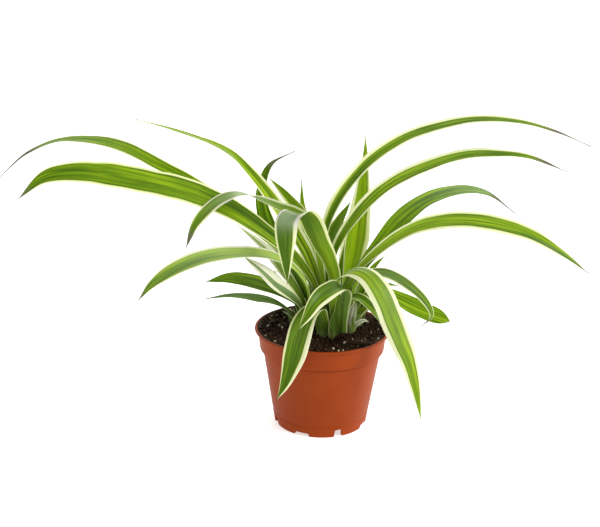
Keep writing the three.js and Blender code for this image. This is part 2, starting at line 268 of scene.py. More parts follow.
def scatter(shape: Array, faces: Array, at: Array, size: Array, seed: int,
            rough: float) -> tuple[Array, Array]:
    """Copies of one small form, each turned, stretched and dented on its own, as one mesh.

    A copy's vertices are turn . (form . stretch) . (1 + dent) + place, for all copies at once.

    Args:
        shape: The form's vertices, of radius about one.
        faces: Its triangles.
        at: The copies' places, n by 3.
        size: The copies' half sizes, n by 3.
        seed: Which random turns and dents.
        rough: How deep the dents are, as a share of the size.

    Returns:
        Vertices and faces of the whole mesh.
    """
    rng = np.random.default_rng(seed)
    count = len(at)
    q = rng.normal(size=(count, 4))
    w, x, y, z = (q / np.linalg.norm(q, axis=1)[:, None]).T
    turn = np.stack([1 - 2 * (y * y + z * z), 2 * (x * y - w * z), 2 * (x * z + w * y),
                     2 * (x * y + w * z), 1 - 2 * (x * x + z * z), 2 * (y * z - w * x),
                     2 * (x * z - w * y), 2 * (y * z + w * x), 1 - 2 * (x * x + y * y)], -1)
    dent = 1 + rough * rng.uniform(-1, 1, (count, len(shape), 1))
    turn = turn.reshape(count, 3, 3)
    points = np.einsum("nij,nvj->nvi", turn, shape[None] * size[:, None] * dent) + at[:, None]
    shift = (np.arange(count) * len(shape))[:, None, None]
    return points.reshape(-1, 3), (faces[None] + shift).reshape(-1, 3)


def lump_form() -> tuple[Array, Array]:
    """The form of a crumb: an icosahedron, whose corners are turns of (0, 1, golden ratio).

    Returns:
        Its twelve corners at radius one, and its twenty triangles.
    """
    g = (1 + 5**0.5) / 2
    corners = np.array([(-1, g, 0), (1, g, 0), (-1, -g, 0), (1, -g, 0), (0, -1, g), (0, 1, g),
                        (0, -1, -g), (0, 1, -g), (g, 0, -1), (g, 0, 1), (-g, 0, -1), (-g, 0, 1)], float)
    faces = np.array([(0, 11, 5), (0, 5, 1), (0, 1, 7), (0, 7, 10), (0, 10, 11), (1, 5, 9), (5, 11, 4),
                      (11, 10, 2), (10, 7, 6), (7, 1, 8), (3, 9, 4), (3, 4, 2), (3, 2, 6), (3, 6, 8),
                      (3, 8, 9), (4, 9, 5), (2, 4, 11), (6, 2, 10), (8, 6, 7), (9, 8, 1)])
    return corners / np.linalg.norm(corners, axis=1)[:, None], faces


# Finishes


@dataclass(frozen=True)
class PotPlastic:
    """Polypropylene, injection moulded in a smooth steel mould and dyed through.

    It gives an even satin skin with a broad soft shine and faint upright draw marks, and its foot is painted
    more orange: painted glow that stands for light coming through the thin skirt.
    """

    body: str = "#953c0a"
    shade: str = "#893408"
    # painted glow: the foot's more orange colour stands for light that comes through the thin skirt
    foot: str = "#9a3c0c"
    roughness: float = 0.48
    draw_mark_mm: float = 0.9
    mottle_mm: float = 22.0
    grain_mm: float = 0.35  # the mould's own grain is near 0.05 mm, drawn coarser so that it shows
    skirt_glow_mm: Point2 = (12.0, 2.0)  # between these heights the painted glow of light through the thin skirt comes in
    skirt_glow_share: float = 0.7

    def make(self) -> bpy.types.Material:
        """Builds the material.

        Returns:
            The material.
        """
        material, tree, surface = new_material("moulded_polypropylene")
        add = partial(add_node, tree)
        where = add("TexCoord", out="Object")
        mottle = add("TexNoise", {"Vector": where, "Scale": 1 / (self.mottle_mm * MM), "Detail": 3.0})
        marks = add("Mapping", {"Vector": where, "Scale": (1.0, 1.0, 0.03)})
        marks = add("TexNoise", {"Vector": marks, "Scale": 1 / (self.draw_mark_mm * MM), "Detail": 2.0})
        grain = add("TexNoise", {"Vector": where, "Scale": 1 / (self.grain_mm * MM), "Detail": 2.0})
        # painted glow: low on the pot the colour turns to the more orange foot colour, for light through the
        # thin skirt
        start, end = (edge * MM for edge in self.skirt_glow_mm)
        low = add("MapRange", {"Value": add("SeparateXYZ", {0: where}, out="Z"), "From Min": start,
                               "From Max": end, "To Max": self.skirt_glow_share})
        colour = add("Mix", {0: mottle, 6: self.body, 7: self.shade}, out=2, data_type="RGBA")
        colour = add("Mix", {0: low, 6: colour, 7: self.foot}, out=2, data_type="RGBA")
        gloss = add("MapRange", {"Value": marks, "From Min": 0.3, "From Max": 0.7,
                                 "To Min": self.roughness - 0.04, "To Max": self.roughness + 0.06})
        bump = add("Bump", {"Height": marks, "Strength": 0.05, "Distance": 0.0004})
        bump = add("Bump", {"Height": grain, "Strength": 0.08, "Distance": 0.0003, "Normal": bump})
        skin = add("BsdfPrincipled", {"Base Color": colour, "Roughness": gloss, "Normal": bump,
                                      "IOR": 1.3, "Specular IOR Level": 0.24})
        tree.links.new(skin, surface)
        return material


@dataclass(frozen=True)
class Peat:
    """Damp peat, milled and loosely filled. It is near black, crumbly and dull, with brown fibres in it."""

    dark: str = "#1f130b"
    brown: str = "#462c14"
    fibre: str = "#6a4626"
    crumb_mm: float = 2.2
    fibre_mm: float = 0.8

    def make(self) -> bpy.types.Material:
        """Builds the material.

        Returns:
            The material.
        """
        material, tree, surface = new_material("damp_peat")
        add = partial(add_node, tree)
        where = add("TexCoord", out="Object")
        crumbs = add("TexNoise", {"Vector": where, "Scale": 1 / (self.crumb_mm * MM), "Detail": 6.0,
                                  "Roughness": 0.7})
        fibres = add("Mapping", {"Vector": where, "Scale": (1.0, 0.25, 1.0), "Rotation": (0, 0, 0.7)})
        fibres = add("TexNoise", {"Vector": fibres, "Scale": 1 / (self.fibre_mm * MM), "Detail": 2.0})
        fibres = add("MapRange", {"Value": fibres, "From Min": 0.66, "From Max": 0.72, "To Max": 0.6})
        colour = add("ValToRGB", {0: crumbs}, stops=((0.40, self.dark), (0.68, self.brown)))
        colour = add("Mix", {0: fibres, 6: colour, 7: self.fibre}, out=2, data_type="RGBA")
        gloss = add("MapRange", {"Value": crumbs, "To Min": 0.55, "To Max": 0.95})
        bump = add("Bump", {"Height": crumbs, "Strength": 0.9, "Distance": 0.0012})
        skin = add("BsdfPrincipled", {"Base Color": colour, "Roughness": gloss, "Normal": bump,
                                      "IOR": 1.4, "Specular IOR Level": 0.2})
        tree.links.new(skin, surface)
        return material


@dataclass(frozen=True)
class Grit:
    """A loose grain in the peat: expanded perlite, off-white and pitted, or a bark chip, brown and ribbed."""

    name: str
    light: str
    dark: str
    pit_mm: float
    squeeze: float = 1.0

    def make(self) -> bpy.types.Material:
        """Builds the material.

        Returns:
            The material.
        """
        material, tree, surface = new_material(self.name)
        add = partial(add_node, tree)
        pits = add("Mapping", {"Vector": add("TexCoord", out="Object"), "Scale": (1.0, self.squeeze, 1.0)})
        pits = add("TexNoise", {"Vector": pits, "Scale": 1 / (self.pit_mm * MM), "Detail": 4.0})
        colour = add("ValToRGB", {0: pits}, stops=((0.36, self.dark), (0.56, self.light)))
        bump = add("Bump", {"Height": pits, "Strength": 0.7, "Distance": 0.0004})
        skin = add("BsdfPrincipled", {"Base Color": colour, "Roughness": 0.85, "Normal": bump})
        tree.links.new(skin, surface)
        return material


@dataclass(frozen=True)
class LeafBlade:
    """A living strap leaf with a waxy skin over parallel veins.

    It gives a soft long shine, light and dark lengthwise bands in the green, cream margins whose inner
    line wanders, a grey wash that is the pale blades' own pallor and, on the arching blades, painted sheen
    that stands for reflected light, a duller underside, a pale foot, a dry grey tip, and light through the
    blade. The pattern follows the blade's own attributes: across, from -1 to 1, along, from 0 to 1, run and
    side in millimetres along and across it, green, the share of the half width that is green, tone, how
    light the green is, bloom, how much grey pallor and painted sheen there is, under, 1 on the
    underside, seed, which streaks it has, and dry, where along it the tip is dry.
    """

    deep: str = "#4e6f0c"
    middle: str = "#83a614"
    fresh: str = "#b4cf1e"
    turning: str = "#bbd264"
    cream: str = "#f2f6b0"
    white: str = "#fcfed8"
    below: str = "#86a43c"
    foot: str = "#b4c17c"
    dry: str = "#7d7463"
    glow: str = "#a4cf22"
    # grey tints of pallor and painted sheen: the pale blades' own colour, and reflected light painted on the
    # arching ones
    bloom: str = "#b3c79c"
    margin_pallor_and_sheen: str = "#e9e4e6"
    sheen: str = "#f4f8ec"
    through_share: float = 0.30
    roughness: float = 0.38
    vein_mm: float = 1.8  # real veins stand nearer 1 mm apart, drawn coarser so that they show
    streak_mm: float = 90.0
    bands: float = 3.2  # light and dark bands in half the width

    def make(self) -> bpy.types.Material:
        """Builds the material.

        Returns:
            The material.
        """
        material, tree, surface = new_material("waxy_strap_leaf")
        add = partial(add_node, tree)
        soft = {"interpolation_type": "SMOOTHSTEP"}
        read = {key: add("Attribute", out="Fac", attribute_name=key) for key in (
            "across", "along", "run", "side", "green", "tone", "bloom", "under", "seed", "dry")}
        # veins run the whole way, and bands of light and dark green run between them
        long_way = add("Math", {0: read["run"], 1: 1 / self.streak_mm}, operation="MULTIPLY")
        veins = add("Math", {0: read["side"], 1: 1 / self.vein_mm}, operation="MULTIPLY")
        veins = add("CombineXYZ", {0: veins, 1: long_way, 2: read["seed"]})
        veins = add("TexNoise", {"Vector": veins, "Scale": 1.0, "Detail": 3.0, "Roughness": 0.7})
        bands = add("Math", {0: read["across"], 1: self.bands}, operation="MULTIPLY")
        bands = add("CombineXYZ", {0: bands, 1: long_way, 2: read["seed"]})
        bands = add("TexNoise", {"Vector": bands, "Scale": 1.0, "Detail": 3.0, "Roughness": 0.62})
        # how far past the green part's line a point is, with the line moved by the veins and the bands
        over = add("Math", {0: read["across"]}, operation="ABSOLUTE")
        over = add("Math", {0: veins, 1: 0.14, 2: over}, operation="MULTIPLY_ADD")
        over = add("Math", {0: bands, 1: 0.16, 2: over}, operation="MULTIPLY_ADD")
        over = add("Math", {0: over, 1: read["green"]}, operation="SUBTRACT")
        margin = add("MapRange", {"Value": over, "From Min": 0.10, "From Max": 0.19}, **soft)
        # the green part is darker along its edge, and greyed by bloom: the pale blades' own pallor, and
        # painted sheen for reflected light on the arching ones
        shade = add("Math", {0: bands, 1: 1.6, 2: read["tone"]}, operation="MULTIPLY_ADD")
        shade = add("Math", {0: veins, 1: 1.7, 2: shade}, operation="MULTIPLY_ADD")
        seam = add("MapRange", {"Value": over, "From Min": 0.0, "From Max": 0.1, "To Max": -0.4}, **soft)
        shade = add("Math", {0: shade, 1: seam}, operation="ADD")
        green = add("MapRange", {"Value": shade, "From Min": 1.15, "From Max": 2.15})
        green = add("ValToRGB", {0: green}, stops=((0.05, self.deep), (0.95, self.fresh), (0.5, self.middle)))
        green = add("Mix", {0: read["bloom"], 6: green, 7: self.bloom}, out=2, data_type="RGBA")
        # the margins turn from green through cream to white, less so near the foot
        aged = add("MapRange", {"Value": read["run"], "From Min": 15.0, "From Max": 70.0, "To Min": 0.45})
        pale = add("MapRange", {"Value": over, "From Min": 0.13, "From Max": 0.40, "To Max": aged})
        pale = add("ValToRGB", {0: pale}, stops=((0.0, self.turning), (0.9, self.white), (0.28, self.cream)))
        line = add("MapRange", {"Value": veins, "From Min": 0.60, "From Max": 0.72, "To Max": 0.4})
        # the margins whiten by the same share, partly pallor and partly painted sheen
        for share, tint in ((read["bloom"], self.margin_pallor_and_sheen), (line, self.turning)):
            pale = add("Mix", {0: share, 6: pale, 7: tint}, out=2, data_type="RGBA")
        # the whole blade: its underside, its foot and its dry tip
        colour = add("Mix", {0: margin, 6: green, 7: pale}, out=2, data_type="RGBA")
        below = add("Math", {0: read["under"], 1: 0.18}, operation="MULTIPLY")
        foot = add("MapRange", {"Value": read["run"], "From Min": 9.0, "From Max": 1.0, "To Max": 0.45},
                   **soft)
        past = add("Math", {0: read["along"], 1: read["dry"]}, operation="SUBTRACT")
        tip = add("MapRange", {"Value": past, "From Min": 0.0, "From Max": 0.06}, **soft)
        for share, tint in ((below, self.below), (foot, self.foot), (tip, self.dry)):
            colour = add("Mix", {0: share, 6: colour, 7: tint}, out=2, data_type="RGBA")
        glow = add("Mix", {0: 0.5, 6: colour, 7: self.glow}, out=2, data_type="RGBA")
        glow = add("Mix", {0: margin, 6: glow, 7: colour}, out=2, data_type="RGBA")
        bump = add("Bump", {"Height": veins, "Strength": 0.35, "Distance": 0.0004})
        gloss = add("MapRange", {"Value": read["under"], "To Min": self.roughness, "To Max": 0.6})
        skin = add("BsdfPrincipled", {"Base Color": colour, "Roughness": gloss, "Normal": bump, "IOR": 1.45,
                                      "Specular IOR Level": 0.1, "Coat Weight": 0.1, "Coat Roughness": 0.28,
                                      "Sheen Weight": 0.18, "Sheen Roughness": 0.35,
                                      "Sheen Tint": linear(self.sheen)})
        light = add("BsdfTranslucent", {"Color": glow})
        tree.links.new(add("MixShader", {0: self.through_share, 1: skin, 2: light}), surface)
        return material


# The pot


@dataclass
class Pot:
    """The nursery pot: a tapered wall, a shoulder, a collar, a rolled lip, and a foot with eight notches."""

    finish: PotPlastic = PotPlastic()
    foot_radius: float = 41.8
    slope: float = 0.1594
    wall: float = 1.2
    shoulder_z: float = 68.0
    lip_radius: float = 60.0
    lip_z: float = 88.0
    lip_low_z: float = 86.2
    floor_z: float = 7.2
    floor: float = 1.4
    skirt_inner: float = 40.0
    band_z: float = 9.4  # a thicker band round the foot ends here
    slot_from: float = 30.5
    slot_to: float = 35.5
    slot_half: float = 2.8  # half the width of a slot, at the radius of its middle
    slot_middle: float = 33.0
    notch_deg: float = 22.5
    narrow: Point2 = (6.6, 7.0)  # width and height
    wide: Point2 = (12.6, 3.0)
    foot_corner: float = 1.5
    columns: int = 180

    def wall_radius(self, z: float) -> float:
        """The body's outer radius at a height."""
        return self.foot_radius + self.slope * z

    def outline(self) -> list[tuple[float, float, float]]:
        """The pot's cut from the middle of its underside, out, up, over the lip, and down to its floor.

        Returns:
            Radius, height and corner rounding of each corner.
        """
        w, low, top = self.wall_radius, self.floor_z, self.floor_z + self.floor
        band, neck, skirt, body = self.band_z, self.shoulder_z, self.skirt_inner, self.foot_radius
        lip, lip_low, lip_top = self.lip_radius, self.lip_low_z, self.lip_z
        underside = [(22, 1, .6), (23.8, low, .4), (self.slot_from, low, 0), (self.slot_to, low, 0),
                     (skirt, low, 0), (skirt, 0, .3)]
        outside = [(body, 0, .5), (w(4), 4, 0), (w(band - .6), band - .6, .3), (w(band) - .35, band, .2),
                   (w(14) - .15, 14, 0), (w(66.9) - .1, 66.9, .3), (w(neck) - .55, neck, .4),
                   (53.3, 68.7, .3), (55.1, 69.5, .3), (55.5, 70.6, .4), (57, 85.8, .4),
                   (57.9, lip_low, .2), (lip, lip_low, .5)]
        inside = [(lip, lip_top, .8), (58, lip_top, .7), (55.8, 85.6, .4), (54.4, 71.4, .4),
                  (w(neck) - self.wall, 68.2, .6), (w(top) - self.wall, top, .8), (self.slot_to, top, 0),
                  (self.slot_from, top, 0), (22.6, top, .5), (20.8, 2.4, .5)]
        return underside + outside + inside

    def rounded(self) -> Array:
        """The outline with its corners rounded.

        A rounded corner is a quadratic curve from the point that lies its rounding before the corner to the
        one that lies as far after it, drawn towards the corner.

        Returns:
            Radius and height of each row, n by 2.
        """
        corners = self.outline()
        rows: list[Array] = []
        t = np.linspace(0, 1, 5)[:, None]
        for k, (r, z, size) in enumerate(corners):
            here = np.array([r, z], float)
            if size == 0 or k in (0, len(corners) - 1):
                rows.append(here[None])
                continue
            ways = (np.array(corners[n][:2]) - here for n in (k - 1, k + 1))
            start, end = (here + v / np.linalg.norm(v) * min(size, 0.45 * np.linalg.norm(v)) for v in ways)
            rows.append((1 - t) ** 2 * start + 2 * t * (1 - t) * here + t**2 * end)
        return np.vstack(rows)

    def angles(self) -> Array:
        """Where the columns stand: at even steps, and closer at the edges of the notches and slots.

        Returns:
            Angles from the front in radians, in rising order.
        """
        steps = [np.linspace(0, 2 * math.pi, self.columns, endpoint=False)]
        for k in range(8):
            width = (self.narrow, self.wide)[k % 2][0]
            middle = math.radians(self.notch_deg + 45 * k)
            half = width / 2 + np.array([1.6, 1.1, .6, .25, .02, -.02, -.25, -.7, -1.3, -2.0])
            steps += [middle + half / self.skirt_inner, middle - half / self.skirt_inner]
            if k % 2 == 0:
                steps.append(middle + np.array([-1, 1]) * self.slot_half / self.slot_middle)
        found = np.sort(np.concatenate(steps) % (2 * math.pi))
        return found[np.r_[True, np.diff(found) > 1e-5]]

    def notch_height(self, angle: Array) -> Array:
        """How high the foot's edge stands at each angle: a notch with rounded corners, or nothing.

        Within a notch, the height is its own less the gap below a circle of the corner's radius. Beside it,
        the foot's own corner rises to the notch along a circle.

        Args:
            angle: Angles from the front, in radians.

        Returns:
            Heights in millimetres.
        """
        height = np.zeros_like(angle)
        for k in range(8):
            width, tall = (self.narrow, self.wide)[k % 2]
            off = angle - math.radians(self.notch_deg + 45 * k)
            off = np.abs((off + math.pi) % (2 * math.pi) - math.pi) * self.skirt_inner
            corner = min(1.8, 0.4 * tall)
            into = np.clip(off - (width / 2 - corner), 0, corner)
            height = np.where(off < width / 2, tall - corner + np.sqrt(corner**2 - into**2), height)
            beside = np.clip(width / 2 + self.foot_corner - off, 0, self.foot_corner)
            beside = np.where(off < width / 2, 0, beside)
            height += self.foot_corner - np.sqrt(self.foot_corner**2 - beside**2)
        return height

    def build(self) -> bpy.types.Object:
        """Turns the outline round the axis, raises the foot's edge into the notches and opens the slots.

        A point is (r sin a, -r cos a, z). In the skirt, z becomes edge + z (top - edge) / top.

        Returns:
            The pot.
        """
        rows, angle = self.rounded(), self.angles()
        r, z = rows[:, :1] + 0 * angle, rows[:, 1:] + 0 * angle
        edge, order = self.notch_height(angle), np.arange(len(rows))[:, None]
        foot = int(np.argmin(np.abs(rows[:, 0] - self.foot_radius) + 10 * np.abs(rows[:, 1])))
        inner = (order <= foot) & (r > self.skirt_inner - 2) & (z <= self.floor_z)
        outer = (order > foot) & (order < len(rows) // 2) & (r > self.skirt_inner - 1) & (z < self.band_z)
        top = np.where(inner, self.floor_z, self.band_z)
        lifted = np.where(inner | outer, edge + z * (top - edge) / top, z)
        r = r + np.where(outer, self.slope * (lifted - z), 0)
        points = np.stack([r * np.sin(angle), -r * np.cos(angle), lifted], -1)
        count, ring = points.shape[:2]
        quads, caps = tube_faces(count, ring)
        # the slots: four quarters alike, each cut through the floor's two faces and lined with walls
        quarter = math.pi / 2
        middle = angle + (np.roll(angle, -1) - angle) / 2 - math.radians(self.notch_deg)
        away = np.abs((middle + quarter / 2) % quarter - quarter / 2)
        near = away < (self.slot_half - 0.1) / self.slot_middle
        under, above = (int(np.flatnonzero(np.isclose(rows, at).all(1))[0])
                        for at in ((self.slot_from, self.floor_z), (self.slot_to, self.floor_z + self.floor)))
        keep = np.ones((count - 1, ring), bool)
        keep[[under, above]] = ~near
        number = np.arange(count * ring).reshape(count, ring)
        low_in, low_out, high_out, high_in = number[[under, under + 1, above, above + 1]]
        j = np.flatnonzero(near)
        k = (j + 1) % ring
        first, last = j[~near[j - 1]], k[~near[k]]
        walls = [np.stack([low_in[k], low_in[j], high_in[j], high_in[k]], -1),
                 np.stack([low_out[j], low_out[k], high_out[k], high_out[j]], -1),
                 np.stack([low_in[first], low_out[first], high_out[first], high_in[first]], -1),
                 np.stack([low_out[last], low_in[last], high_in[last], high_out[last]], -1)]
        poles = np.array([[0, 0, rows[0, 1]], [0, 0, rows[-1, 1]]])
        return make_object("nursery_pot", np.vstack([points.reshape(-1, 3), poles]),
                           [quads[keep.ravel()], np.vstack(walls), caps], self.finish.make(), sharp=35)


# The soil


@dataclass
class Soil:
    """Peat filled to just under the lip, with crumbs, perlite and chips of bark lying in it."""

    radius: float = 57.2
    edge_z: float = 85.3
    calm: Point2 = (54.0, 8.0)  # swell and waves fade out towards the first radius, over the second
    rise_from: float = 46.0  # the top rises from here to the rim
    rim_rise: float = 1.8
    heap: float = 1.8
    collar: tuple[float, float, float] = (54.0, 71.6, 0.09)  # radius in the pot's collar, height and slope
    fit: float = 0.4
    bank: tuple[float, float, float, float] = (18.5, -28.0, 6.5, 7.5)  # its place, reach and height
    pot: Pot = field(default_factory=Pot)
    crumbs: int = 2600
    grains: int = 120
    chips: int = 60
    steps: int = 220
    rings: int = 66

    def height(self, x: Array, y: Array) -> Array:
        """The soil's top: a swell, waves and a rise to the rim, as the CAD solid has them, and more.

        A little bank of peat lies against the foremost leaf, and finer lumps fade at the rim.

        Args:
            x: Places to the right.
            y: Places to the back.

        Returns:
            Heights in millimetres.
        """
        out = np.hypot(x, y)
        inside = np.clip((self.calm[0] - out) / self.calm[1], 0, 1)
        swell = 0.9 * np.exp(-(((x + 12) / 40) ** 2) - ((y - 14) / 40) ** 2)
        waves = np.sin(0.21 * x + 0.7) * np.cos(0.26 * y - 0.4) + 0.6 * np.sin(0.47 * x - 0.39 * y + 1.9)
        lumps = (0.55 * lattice_noise(x / 4.3 + 9, y / 4.3 + 5, 3)
                 + 0.35 * lattice_noise(x / 2.1, y / 2.1 + 31, 4)
                 + 0.18 * lattice_noise(x / 0.95 + 17, y / 0.95, 5))
        heap = self.heap * np.clip((y - x) / (1.4 * out + 1), 0, 1)
        share = np.clip((out - self.rise_from) / (self.radius - self.rise_from), 0, 1)
        rise = (self.rim_rise + heap) * share**2
        at_x, at_y, far, high = self.bank
        rise = rise + high * np.exp(-(((x - at_x) ** 2 + (y - at_y) ** 2) / far**2))
        return self.edge_z + rise + inside * (swell + 0.5 * waves) + (0.35 + 0.65 * inside) * lumps

    def body(self, material: bpy.types.Material) -> bpy.types.Object:
        """The filling: rings from the middle of its top to the rim, down the wall and in along the floor.

        Args:
            material: Peat.

        Returns:
            The soil's body.
        """
        around = np.linspace(0, 2 * math.pi, self.steps, endpoint=False)
        top = self.radius * np.linspace(0.02, 1, self.rings)
        low = self.pot.floor_z + self.pot.floor + self.fit
        collar_r, collar_z, slope = self.collar
        side_z = np.array([85.0, collar_z, self.pot.shoulder_z, 40.0, low])
        wall_r = self.pot.wall_radius(side_z) - self.pot.wall - self.fit
        side_r = np.where(side_z < collar_z, wall_r, collar_r + slope * (side_z - collar_z))
        r = np.concatenate([top, side_r, [20.0]])[:, None]
        x, y = r * np.sin(around), -r * np.cos(around)
        z = np.concatenate([np.zeros(len(top)), side_z, [low]])[:, None] + 0 * x
        z[: len(top)] = self.height(x[: len(top)], y[: len(top)])
        points = np.stack([x, y, z], -1).reshape(-1, 3)
        ends = np.array([[0, 0, float(self.height(np.zeros(1), np.zeros(1))[0])], [0, 0, low]])
        faces = tube_faces(len(r), self.steps)
        return make_object("peat_filling", np.vstack([points, ends]), faces, material)

    def spots(self, count: int, seed: int, reach: float) -> Array:
        """Random places on the soil's top, spread evenly over its disc.

        Args:
            count: How many.
            seed: Which places.
            reach: The largest distance from the middle.

        Returns:
            Places, n by 3.
        """
        rng = np.random.default_rng(seed)
        r, a = reach * np.sqrt(rng.random(count)), 2 * math.pi * rng.random(count)
        x, y = r * np.cos(a), r * np.sin(a)
        return np.stack([x, y, self.height(x, y)], -1)

    def loose(self, name: str, material: bpy.types.Material, count: int, seed: int, sizes: Point2,
              stretch: tuple[float, float, float], rough: float, sharp: float | None) -> bpy.types.Object:
        """Grains that lie half sunk in the soil's top, as one piece.

        Args:
            name: The piece's name.
            material: What the grains are.
            count: How many.
            seed: Which places and forms.
            sizes: The least and largest half size.
            stretch: How long, wide and thick a grain is beside that.
            rough: How deeply a grain is dented.
            sharp: The angle past which its edges are sharp.

        Returns:
            The grains.
        """
        rng = np.random.default_rng(seed + 100)
        low, high = sizes
        size = (low + (high - low) * rng.random(count) ** 2.5)[:, None] * np.array(stretch)
        at = self.spots(count, seed, self.radius - high)
        at[:, 2] += 0.25 * size[:, 2]
        form, faces = lump_form()
        points, triangles = scatter(form, faces, at, size, seed, rough)
        return make_object(name, points, [triangles], material, sharp=sharp)

    def build(self) -> list[bpy.types.Object]:
        """Builds the soil and what lies in it.

        Returns:
            The pieces, the filling first.
        """
        peat = Peat().make()
        perlite = Grit("expanded_perlite", "#dcd7b6", "#8f8763", 0.7).make()
        bark = Grit("chipped_bark", "#9a7a52", "#4a3018", 0.9, 0.2).make()
        loose = (("peat_crumbs", peat, self.crumbs, 11, (0.5, 2.1), (1.2, 1.0, 0.8), 0.32, 50),
                 ("perlite_grains", perlite, self.grains, 12, (0.4, 2.0), (1.1, 1.0, 0.85), 0.22, 60),
                 ("bark_chips", bark, self.chips, 13, (0.5, 1.6), (2.2, 0.7, 0.5), 0.25, 40))
        return [self.body(peat), *(self.loose(*row) for row in loose)]


# The leaves


